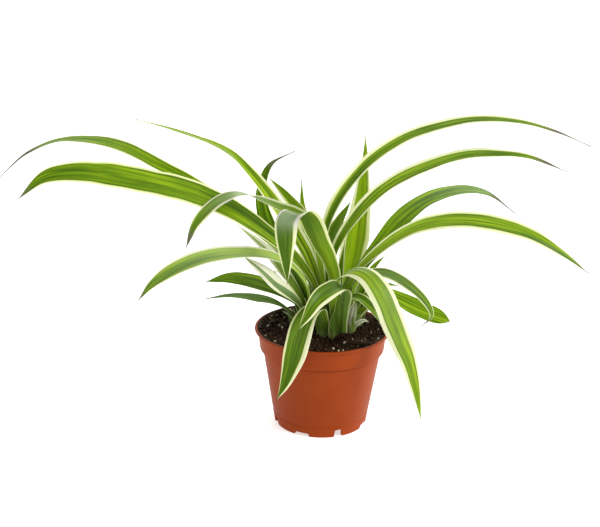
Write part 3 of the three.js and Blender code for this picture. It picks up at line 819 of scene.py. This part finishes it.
@dataclass(frozen=True)
class Leaf:
    """One leaf, as its CAD node has it, with what its blade looks like.

    The midrib lies in the upright plane through its root with its heading, and goes through points of
    reach and height. Roll turns the blade about it, at even steps of its length, and fold is how steeply
    each half rises beside it. Widest is the share of the length where the blade has its whole width, root
    width the share of that at its foot, and taper how late it narrows to the tip.

    Tone goes from dark, under 0, to fresh, over 0, and fade is what is added to it from the middle to the
    tip, and taken off down to the root. Pallor and sheen is how much the blade is greyed, where along it,
    and how far to each side: the pale blades' own pallor, and painted sheen for reflected light on the
    arching blades. Green gives the share of each half width that is green, on the side left of the
    heading and on the right one, and plain how far up the margins are narrower than that. Tip is the dry
    share of the length, and node says whether a CAD node stands for the leaf.
    """

    name: str
    root: Point2
    heading: float
    midrib: tuple[Point2, ...]
    width: float
    roll: tuple[float, ...] = (0, 0)
    widest: float = 0.45
    root_width: float = 0.42
    taper: float = 1.8
    fold: tuple[float, ...] = (55, 48, 28, 14, 10)
    tone: float = 0.0
    fade: float = -0.12
    bloom: tuple[float, float, float] = (.02, .5, .4)
    green: Point2 = (0.70, 0.70)
    plain: float = 85.0
    tip: float = 0.03
    node: bool = True

    ROOT_Z: ClassVar[float] = 86.5
    SUNK: ClassVar[float] = 5.0  # the foot goes on this far below that
    FOLD_AT: ClassVar[tuple[float, ...]] = (0, 0.12, 0.35, 0.65, 1)  # shares of the length
    TIP: ClassVar[float] = 0.4  # half the width that the very tip keeps
    FLARE: ClassVar[Point2] = (1.5, 13.0)  # how much wider each half is at its foot, and how far up
    THICK: ClassVar[Point2] = (0.36, 0.12)  # half the thickness at the foot, and what it loses to the tip
    KEEL: ClassVar[Point2] = (0.25, 0.14)  # the keel's depth, and its reach as a share of the half width
    RIPPLE: ClassVar[float] = 0.22
    PLAIN_SHARE: ClassVar[float] = 0.86
    PAINTED_SHADE_MM: ClassVar[float] = 32.0  # nearer the foot than this, the green darkens: painted shade where the feet crowd together, partly a duller green

    def frame(self) -> tuple[Array, Array, Array, Array, float]:
        """The midrib at even steps, with its rolled axes.

        The level side is square to the heading. The blade's own normal is tangent x side, and both turn
        about the tangent by the roll, which goes evenly from root to tip.

        Returns:
            Share of the length, places, side axes, normals, and the length in millimetres.
        """
        angle = math.radians(self.heading)
        ahead = np.array([math.cos(angle), math.sin(angle), 0])
        side = np.array([-math.sin(angle), math.cos(angle), 0])
        reach, height = np.array([(0, self.ROOT_Z), *self.midrib], float).T[..., None]
        line = smooth_line(np.array([*self.root, 0]) + reach * ahead + height * np.array([0, 0, 1.0]))
        run = np.r_[0, np.cumsum(np.linalg.norm(np.diff(line, axis=0), axis=1))]
        u = np.linspace(0, 1, max(24, int(run[-1] / 2.2)))
        rib = np.stack([np.interp(u * run[-1], run, line[:, k]) for k in range(3)], 1)
        tangent = np.gradient(rib, axis=0)
        tangent /= np.linalg.norm(tangent, axis=1)[:, None]
        normal = np.cross(tangent, side)
        normal /= np.linalg.norm(normal, axis=1)[:, None]
        level = np.cross(normal, tangent)
        roll = np.radians(np.interp(u, np.linspace(0, 1, len(self.roll)), self.roll))[:, None]
        return (u, rib, level * np.cos(roll) + normal * np.sin(roll),
                normal * np.cos(roll) - level * np.sin(roll), float(run[-1]))

    def half_width(self, u: Array) -> Array:
        """Half the blade's width: it grows by smoothstep to the widest place, then tapers to the tip.

        The taper is 1 - x^taper, where x goes from 0 at the widest place to 1 at the tip.

        Args:
            u: Shares of the length.

        Returns:
            Half widths in millimetres.
        """
        grown = self.root_width + (1 - self.root_width) * smoothstep(u / self.widest)
        gone = 1 - np.clip((u - self.widest) / (1 - self.widest), 0, 1) ** self.taper
        return np.maximum(self.width / 2 * grown * gone, self.TIP + 0.35 * np.sqrt(1 - u))

    def surface(self, number: int, ring: int = 36) -> tuple[Array, list[Array], dict[str, Array]]:
        """The blade as a closed skin round its midrib.

        A ring's angle q goes round the cut: v = cos q is the place across, and the sign of sin q says which
        face. A point is rib + side w v cos f + normal (w sin f (|v| - 1/2) + ripple + thickness), with |v|
        rounded to the root of v^2 + 0.02, so that the channel has no crease. Thickness falls to nothing at
        the margins as |sin q|^0.7, and the underside has a low keel. The margins ripple a little.

        Args:
            number: The leaf's number, which picks its ripples and streaks.
            ring: How many vertices go round the cut.

        Returns:
            Vertices, faces and the attributes that the material reads.
        """
        u, rib, side, normal, length = self.frame()
        rng = np.random.default_rng(500 + number)
        run = u * length
        wave = rng.uniform(0, 2 * math.pi, 4)
        flare = self.FLARE[0] * np.exp(-((run / self.FLARE[1]) ** 2)) * min(1.0, self.width / 14)
        half = 1 + 0.02 * np.sin(run / 9 + wave[0]) + 0.015 * np.sin(run / 4.1 + wave[1])
        half = self.half_width(u) * half + flare
        fold = np.radians(np.interp(u, self.FOLD_AT, self.fold))
        q = np.linspace(0, 2 * math.pi, ring, endpoint=False)
        v, face = np.cos(q)[None], np.sign(np.sin(q) + 1e-9)[None]
        w, f = half[:, None], fold[:, None]
        thick = (self.THICK[0] - self.THICK[1] * u[:, None]) * np.abs(np.sin(q))[None] ** 0.7
        keel = self.KEEL[0] * (1 - u[:, None]) * np.exp(-((v / self.KEEL[1]) ** 2))
        lift = w * np.sin(f) * (np.sqrt(v**2 + 0.02) - 0.5) - 0.05 * w * v**4
        ripple = np.where(v > 0, np.sin(run[:, None] / 7.5 + wave[2]), np.sin(run[:, None] / 8.3 + wave[3]))
        ripple = self.RIPPLE * ripple * np.abs(v) ** 3 * smoothstep(run[:, None] / 40)
        out, up = w * v * np.cos(f), lift + ripple + face * thick - (face < 0) * keel
        points = rib[:, None] + side[:, None] * out[..., None] + normal[:, None] * up[..., None]
        down = self.SUNK * np.clip(1 - np.arange(len(u)) / 2, 0, 1)
        points[:, :, 2] -= down[:, None]
        if self.node:
            points[:, :, 2] = np.where(run[:, None] < 0.1, self.ROOT_Z - self.SUNK, points[:, :, 2])
        ends = np.stack([points[0].mean(0), rib[-1] + 0.4 * (rib[-1] - rib[-2])])
        green = np.where(v > 0, *self.green)
        if self.node:
            plain = smoothstep((self.plain - run) / (0.75 * self.plain))[:, None]
            green = green + (self.PLAIN_SHARE - green) * plain
        # painted shade: the tone drops near the foot, where the crowded feet shade each other
        tone = self.tone + self.fade * (2 * u - 1) - 0.5 * smoothstep(1 - run / self.PAINTED_SHADE_MM)
        # a grey wash along the blade: pallor on the pale blades, painted sheen for reflected light on the
        # arching ones
        amount, middle, spread = self.bloom
        bloom = amount * np.exp(-(((u - middle) / spread) ** 2))
        read = {"across": v, "along": u[:, None], "run": run[:, None], "side": w * v, "green": green,
                "tone": tone[:, None], "bloom": bloom[:, None], "under": face < 0, "seed": 7.3 * number,
                "dry": 1 - self.tip}
        read = {key: np.broadcast_to(table, up.shape).astype(float) for key, table in read.items()}
        values = {key: np.r_[table.ravel(), table[0].mean(), table[-1].mean()] for key, table in read.items()}
        return np.vstack([points.reshape(-1, 3), ends]), tube_faces(len(u), ring), values


LEAVES = (
    Leaf("left_high", (-6.8, 8.5), 168, ((0, 113), (13, 136), (29, 150), (59, 172), (106, 206), (142, 222),
         (177, 237), (209, 242), (244, 239), (274, 226), (305, 201)), 12, (-35, -50, -58, -60, -22, -45),
         widest=.62, root_width=.3, taper=1.6, bloom=(.3, .82, .15), green=(.76, .8), tip=.16),
    Leaf("left_broad", (-8.8, 3.3), 182, ((-4, 112), (2, 131), (14, 148), (28, 162), (44, 175), (73, 194),
         (106, 208), (144, 217), (180, 223), (208, 224), (231, 219), (254, 200)), 23,
         (-35, -55, -62, -62, -62, -55), widest=.6, root_width=.38, taper=3, tone=-.05, fade=-.2,
         green=(.8, .83), plain=120, tip=.06),
    Leaf("left_tall", (-3.1, 12.2), 157, ((0, 118), (10, 145), (21, 163), (44, 192), (67, 216), (90, 234),
         (130, 246), (190, 256)), 15, (-30, -50, -45, -15, -15, -25), widest=.3, root_width=.5, taper=1.5,
         tone=.1, bloom=(0, .5, .4), green=(.74, .62), tip=.02),
    Leaf("back_left_curled", (-8, 15), 148, ((8, 108), (27, 138), (48, 163), (58, 187), (58, 205), (49, 225),
         (23, 240)), 19, (-10, -30, -50, -45, -30), widest=.4, taper=1, tone=-.4, bloom=(0, .5, .4),
         green=(.95, .88), tip=.2),
    Leaf("back_left", (-2, 17), 128, ((8, 130), (29, 176), (48, 188), (64, 196), (83, 204)), 15,
         (-10, -30, -45, -45), widest=.5, tone=.15, bloom=(0, .5, .4), green=(.5, .85)),
    Leaf("back_thin", (5, 19), 118, ((12, 120), (38, 160), (55, 182), (58, 205)), 10, (0, -20, -20),
         tone=.15, green=(.85, .8), tip=.06),
    Leaf("left_arched", (-2, 1), 190, ((-1, 128), (1, 145), (4, 163), (8, 177), (14, 187), (25, 194),
         (36, 198), (47, 203), (60, 208), (73, 210), (86, 206), (97, 198), (109, 184), (117, 164)), 14,
         (40, 50, 58, 62, 55, 32, -25, -52, -62), widest=.7, taper=2.5, fold=(55, 48, 25, 8, 8), tone=.15,
         fade=-.3, bloom=(.6, .68, .13), green=(.68, .72), tip=.09),
    Leaf("front_folded", (12.3, -.9), 215, ((2, 119), (4, 137), (11, 155), (18, 167), (25, 181), (31, 192),
         (36, 197), (42, 198), (48, 198), (53, 193), (54, 176), (53, 157), (52, 138)), 23,
         (20, 35, 45, 48, 45, 20, -45, -54, -56), widest=.66, taper=1.5, fold=(55, 50, 34, 8, 6), tone=-.22,
         fade=-.5, bloom=(.8, .7, .05), green=(.66, .8), plain=135),
    Leaf("left_low", (-12, -6), 193, ((-1, 106), (2, 127), (16, 147), (37, 158), (63, 161), (89, 159),
         (115, 150), (135, 137), (147, 123)), 15.5, (0, -15, -33, -40, -48, -50), widest=.72, taper=2,
         tone=.27, fade=-.3, bloom=(.42, .55, .3), green=(.82, .74), tip=.06),
    Leaf("left_lower", (-20, -1), 186, ((2, 106), (14, 118), (33, 128), (61, 134), (82, 131)), 14,
         (-10, -30, -50, -50, -50), widest=.6, taper=2, tone=-.1, bloom=(.12, .5, .3), green=(.95, .95),
         tip=.05),
    Leaf("left_lowest", (-24, 4), 180, ((4, 98), (18, 108), (35, 112), (58, 114), (80, 110)), 8.5,
         (0, -20, -45, -25, -25), tone=-.4, bloom=(.4, .6, .4), green=(.92, 1), tip=.1),
    Leaf("left_pale", (-17.5, 8.2), 175, ((1, 108), (16, 133), (33, 155), (59, 176)), 12, (0, -45, -55),
         tone=.4, bloom=(.5, .8, .5), green=(.35, .1), plain=90),
    Leaf("left_striped", (-19, -9), 191, ((1, 110), (23, 133), (35, 145), (50, 157)), 15, (0, -45, -55),
         widest=.6, root_width=.35, tone=-.5, bloom=(.45, .8, .5), green=(.45, 0), plain=70),
    Leaf("front_small", (17.8, -24), 229, ((-1, 114), (-2, 129), (6, 136), (15, 136), (25, 134), (35, 130),
         (40, 126), (46, 120), (56, 111)), 17, (0, 15, -25, -45, -40), widest=.6, root_width=.38, tone=-.35,
         bloom=(.12, .4, .2), green=(.6, .84)),
    Leaf("front_drooping", (3, -19), 240, ((3, 100), (9, 112), (16, 116), (25, 117), (33, 114), (40, 107),
         (46, 96), (51, 86), (58, 75), (66, 65), (76, 57)), 22, (0, 0, -15, -22, -22), widest=.55, tone=-.3,
         bloom=(.05, .5, .3), green=(.58, .82)),
    Leaf("right_drooping", (11.7, -12.5), -39, ((-3, 112), (-3, 126), (1, 136), (9, 144), (20, 149),
         (32, 148), (42, 141), (51, 130), (60, 114), (70, 97), (78, 83), (86, 61), (93, 35)), 21.5,
         (0, 5, 20, 42, 45, 45), widest=.5, taper=1.9, fold=(55, 40, -12, -4, 6), tone=.05, fade=0,
         bloom=(.16, .6, .2), green=(.64, .62)),
    Leaf("right_short", (27.5, 1.4), -22, ((1, 114), (9, 137), (26, 142), (44, 137), (65, 122), (71, 110),
         (62, 99)), 12, (0, 15, 50, 50), tone=-.35, bloom=(.22, .5, .3), green=(.75, .7), tip=.1),
    Leaf("right_blunt", (28, 7), -12, ((4, 106), (12, 118), (24, 121), (36, 118), (58, 109), (85, 100)), 15,
         (0, 30, 58, 58), widest=.72, root_width=.3, taper=5, tone=.1, green=(1.2, 1.2)),
    Leaf("right_highest", (1.5, 5.3), 2, ((-1, 125), (-2, 168), (3, 190), (11, 207), (23, 224), (38, 240),
         (65, 258), (93, 268), (124, 274), (162, 272), (192, 264), (222, 252)), 12,
         (35, 55, 65, 62, 60, 50, 35), widest=.35, tone=-.05, bloom=(.12, .8, .3), green=(.5, .68), plain=60,
         tip=.14),
    Leaf("right_high", (6.1, 4.9), -4, ((1, 119), (2, 151), (10, 173), (30, 202), (50, 220), (77, 235),
         (109, 246), (137, 248), (162, 246), (195, 234)), 12.5, (35, 55, 62, 60, 55, 45), widest=.4,
         taper=2.2, bloom=(.08, .7, .3), green=(.54, .76), plain=60, tip=.12),
    Leaf("right_dark", (14, 12), 12, ((6, 115), (23, 142), (42, 168), (56, 184), (78, 200), (103, 207),
         (120, 207), (136, 202), (161, 184)), 17, (20, 45, 55, 58, 58, 40), widest=.5, root_width=.38,
         taper=1, tone=-.1, bloom=(.4, .78, .2), green=(1.1, 1.1), tip=.16),
    Leaf("right_long", (14.4, 5), -4, ((5, 112), (17, 141), (29, 155), (50, 173), (69, 183), (97, 189),
         (125, 188), (161, 179), (190, 163), (212, 147)), 16, (20, 45, 60, 62, 60, 45), widest=.6,
         root_width=.35, taper=2, fade=-.3, bloom=(.06, .5, .4), green=(.7, .64), tip=.05),
    Leaf("back_broad", (12, 18), 72, ((5, 98), (23, 110), (47, 134), (66, 163), (76, 198), (80, 226),
         (77, 244)), 29, widest=.47, taper=1, tone=.35, fade=-.35, bloom=(0, .5, .4), green=(.64, .66),
         plain=45),
    Leaf("back_middle", (1.4, 14.2), 50, ((-1, 118), (0, 143), (5, 162), (19, 180), (33, 193)), 18,
         widest=.6, tone=-.1, bloom=(0, .5, .4), green=(.74, 1)),
    Leaf("back_sliver", (11.7, 8.7), 69, ((1, 105), (11, 140), (19, 160)), 8, root_width=.6, green=(.4, .3)),
    Leaf("right_stub", (26, 13), 28, ((9, 115), (20, 136), (33, 147)), 9, (0, 30, 40)),
    Leaf("right_tip", (31, 9), 10, ((8, 110), (24, 124), (36, 123)), 8, (0, 30, 45), green=(.9, .8)),
    Leaf("right_inner", (25, -7.5), -30, ((-2, 108), (0, 119), (8, 120), (18, 115), (28, 106), (37, 93)), 11,
         (0, 15, 40), tone=-.3, green=(.55, .9)),
    Leaf("rear_1", (-7, 22), 104, ((8, 110), (30, 135), (62, 146), (95, 136), (118, 112)), 17),
    Leaf("rear_2", (3, 26), 92, ((6, 108), (26, 132), (55, 142), (88, 132), (112, 108)), 18),
    Leaf("rear_3", (22, 16), 68, ((8, 98), (26, 112), (52, 118), (80, 110), (100, 92)), 16),
    Leaf("rear_4", (-15.5, 16.5), 118, ((5, 98), (20, 112), (42, 120), (66, 114), (86, 98)), 16),
    Leaf("rear_5", (30.5, 15), 44, ((5, 97), (16, 107), (32, 108), (48, 99)), 12),
)

Shoot = partial(Leaf, node=False)
Bud = partial(Shoot, fold=(30, 25, 20, 15, 10))
SHOOTS = (
    Bud("shoot_pale", (22.7, -10.3), 20, ((0, 99), (2.2, 108), (5.6, 116)), 5, (70, 60), root_width=.8,
         tone=.1, bloom=(.6, .5, 1), green=(.05, .3)),
    Bud("shoot_striped", (26, -6.4), 20, ((1, 98), (2.6, 107.5), (4, 113)), 4.5, (70, 60), root_width=.8,
         tone=.1, bloom=(.6, .5, 1), green=(.3, .1)),
    Bud("shoot_curled", (27.2, -3.9), 5, ((3.4, 93), (9.5, 96), (14, 94.5)), 4, (30, 60, 60), root_width=.9,
         tone=-.2, bloom=(.6, .5, 1), green=(.2, .1), tip=.1),
    Shoot("shoot_right", (27.4, 3.4), 20, ((3.5, 97), (10, 103), (16.5, 109)), 8, (20, 50), root_width=.7,
         tone=.1, green=(.9, .5)),
    Shoot("sheath_pointed", (9.5, -25), -75, ((-1, 96), (-2, 103), (-3, 110)), 7.5, widest=.35,
         root_width=.85, fold=(30, 30, 25, 20, 10), tone=-.2, green=(.85, .85)),
    Shoot("sheath_left", (0, -20), 250, ((0, 98), (0, 108), (2, 121)), 14, widest=.35, root_width=.8,
         fold=(35, 35, 25, 20, 10), tone=-.45, green=(1, 1)),
    Shoot("sheath_middle", (14, -22), 270, ((0, 98), (1, 112), (0, 128)), 11, widest=.35, root_width=.8,
         fold=(35, 35, 25, 20, 10), tone=-.3, green=(.85, .9)),
)


@dataclass
class Foliage:
    """All the leaves and young shoots, in one living finish."""

    finish: LeafBlade = LeafBlade()

    def build(self) -> list[tuple[bpy.types.Object, str | None]]:
        """Builds every blade.

        Returns:
            Each blade with the CAD node that it stands for, or None for a young shoot.
        """
        material = self.finish.make()
        made = []
        for number, leaf in enumerate((*LEAVES, *SHOOTS)):
            points, faces, values = leaf.surface(number)
            name, node = (f"blade_{leaf.name}", f"leaf_{leaf.name}") if leaf.node else (leaf.name, None)
            made.append((make_object(name, points, faces, material, values), node))
        return made


@dataclass
class Crown:
    """The heart of the plant: short fleshy sheaths that clasp the feet of the leaves in the soil."""

    count: int = 48
    front: float = -15.0  # leaves that stand before this have sheaths of their own
    spread_deg: float = 28.0
    ring: int = 20

    def sheath(self, number: int, host: Leaf, rng: np.random.Generator) -> Leaf:
        """A short leaf whose midrib follows the lower part of the leaf that it clasps.

        Args:
            number: The sheath's number.
            host: The leaf that it clasps.
            rng: What its sizes are drawn from.

        Returns:
            The sheath.
        """
        heading = host.heading + rng.uniform(-self.spread_deg, self.spread_deg)
        top = max(z for _, z in host.midrib) - Leaf.ROOT_Z
        angle, off = math.radians(heading), rng.uniform(1.2, 3.0)
        tall = max(15, rng.uniform(0.3, 0.45) * min(95, top))
        root = (host.root[0] + off * math.cos(angle), host.root[1] + off * math.sin(angle))
        reach, height = zip(*((0, Leaf.ROOT_Z), *host.midrib[:4]))
        rise = Leaf.ROOT_Z + tall * np.array([0.35, 0.7, 1.0])
        path = tuple(zip(np.interp(rise, height, reach) + (0, 0.3, 1.0), rise))
        return Leaf(f"sheath_{number}", root, heading, path, rng.uniform(9, 11.5), root_width=.85,
                    widest=.35, taper=1.7, fold=(48, 45, 35, 25, 12), tone=rng.uniform(-.5, .1),
                    green=(.85, .85), node=False)

    def build(self, material: bpy.types.Material) -> bpy.types.Object:
        """Builds the sheaths as one piece.

        Args:
            material: The leaves' material.

        Returns:
            The sheaths.
        """
        rng = np.random.default_rng(77)
        hosts = [leaf for leaf in LEAVES if leaf.root[1] > self.front]
        made = [self.sheath(k, hosts[k * 5 % len(hosts)], rng).surface(200 + k, self.ring)
                for k in range(self.count)]
        base = np.cumsum([0, *(len(points) for points, _, _ in made)])
        faces = [np.vstack([groups[n] + start for (_, groups, _), start in zip(made, base)]) for n in (0, 1)]
        values = {key: np.concatenate([more[key] for _, _, more in made]) for key in made[0][2]}
        points = np.vstack([part for part, _, _ in made])
        return make_object("crown_sheaths", points, faces, material, values)


# The studio


@dataclass(frozen=True)
class Lamp:
    """A far lamp: its strength in watts per square metre, where it stands from the front, and its breadth.

    The azimuth goes from the front to the right, the elevation up from level, and the breadth is the
    angle that the lamp fills, all in degrees.
    """

    name: str
    strength: float
    azimuth: float
    elevation: float
    spread: float


@dataclass(frozen=True)
class Studio:
    """A white floor, soft lights and the camera at the photograph's angle."""

    lens: float = 57.0
    camera_at: tuple[float, float, float] = (0.0, -0.790, 0.394)
    turn_deg: tuple[float, float, float] = (1.5, 72.6, 0.9)
    floor: str = "#f0f0ee"
    floor_glow: float = 0.60  # a table lit from below, which keeps shadows faint
    floor_reach_mm: float = 15000.0
    sky: float = 0.38
    lamps: tuple[Lamp, ...] = (Lamp("key", 2.6, 68, 34, 25), Lamp("fill", 0.3, -105, 25, 50),
                               Lamp("top", 1.8, 175, 40, 45))

    def camera(self) -> None:
        """Places the camera: turned by the roll about its own axis, tipped down, then turned to the left."""
        data = bpy.data.cameras.new("camera")
        data.lens, data.sensor_width, data.sensor_fit = self.lens, 36.0, "HORIZONTAL"
        data.clip_start, data.clip_end = 0.01, 100.0
        camera = bpy.data.objects.new("camera", data)
        pan, tip, roll = (math.radians(a) for a in self.turn_deg)
        camera.matrix_world = (Matrix.Translation(self.camera_at) @ Matrix.Rotation(pan, 4, "Z")
                               @ Matrix.Rotation(tip, 4, "X") @ Matrix.Rotation(roll, 4, "Z"))
        bpy.context.scene.collection.objects.link(camera)
        bpy.context.scene.camera = camera

    def ground(self) -> None:
        """Lays a broad matt floor under the pot."""
        material, tree, surface = new_material("matt_white_floor")
        skin = add_node(tree, "BsdfPrincipled", {
            "Base Color": self.floor, "Roughness": 0.9, "Specular IOR Level": 0.1,
            "Emission Color": (1, 1, 1, 1), "Emission Strength": self.floor_glow})
        tree.links.new(skin, surface)
        corners = self.floor_reach_mm * np.array([(-1, -1, 0), (1, -1, 0), (1, 1, 0), (-1, 1, 0)])
        mesh = bpy.data.meshes.new("floor")
        mesh.from_pydata((corners * MM).tolist(), [], [(0, 1, 2, 3)])
        mesh.materials.append(material)
        floor = bpy.data.objects.new("floor", mesh)
        bpy.context.scene.collection.objects.link(floor)

    def lights(self) -> None:
        """Sets a soft sky, white where it is seen itself, and three broad soft lamps far off."""
        world = bpy.data.worlds.new("white_studio")
        world.use_nodes = True
        tree, background = world.node_tree, world.node_tree.nodes["Background"].inputs
        seen = add_node(tree, "LightPath", out="Is Camera Ray")
        level = add_node(tree, "MapRange", {"Value": seen, "To Min": self.sky, "To Max": 1.0})
        tree.links.new(level, background["Strength"])
        background["Color"].default_value = (1, 1, 1, 1)
        bpy.context.scene.world = world
        for lamp in self.lamps:
            data = bpy.data.lights.new(lamp.name, "SUN")
            data.energy, data.angle = lamp.strength, math.radians(lamp.spread)
            piece = bpy.data.objects.new(lamp.name, data)
            piece.matrix_world = (Matrix.Rotation(math.radians(lamp.azimuth), 4, "Z")
                                  @ Matrix.Rotation(math.radians(90 - lamp.elevation), 4, "X"))
            bpy.context.scene.collection.objects.link(piece)

    def build(self) -> None:
        """Sets up the whole studio."""
        bpy.context.scene.view_settings.view_transform = "Standard"
        self.camera()
        self.ground()
        self.lights()
        LOG.info("studio: camera, floor and three lights")


def main() -> None:
    """Builds the studio, the pot, the soil, the leaves and the crown."""
    logging.basicConfig(level=logging.INFO, format="%(name)s %(message)s")
    Studio().build()
    pot = Pot()
    place(pot.build(), Slot.POT, "pot")
    for number, piece in enumerate(Soil(pot=pot).build()):
        place(piece, Slot.SOIL, *(["soil"] if number == 0 else []))
    blades = Foliage().build()
    for blade, node in blades:
        place(blade, Slot.LEAF, *([node] if node else []))
    place(Crown().build(blades[0][0].data.materials[0]), Slot.CROWN, "crown")


if __name__ == "__main__":
    main()
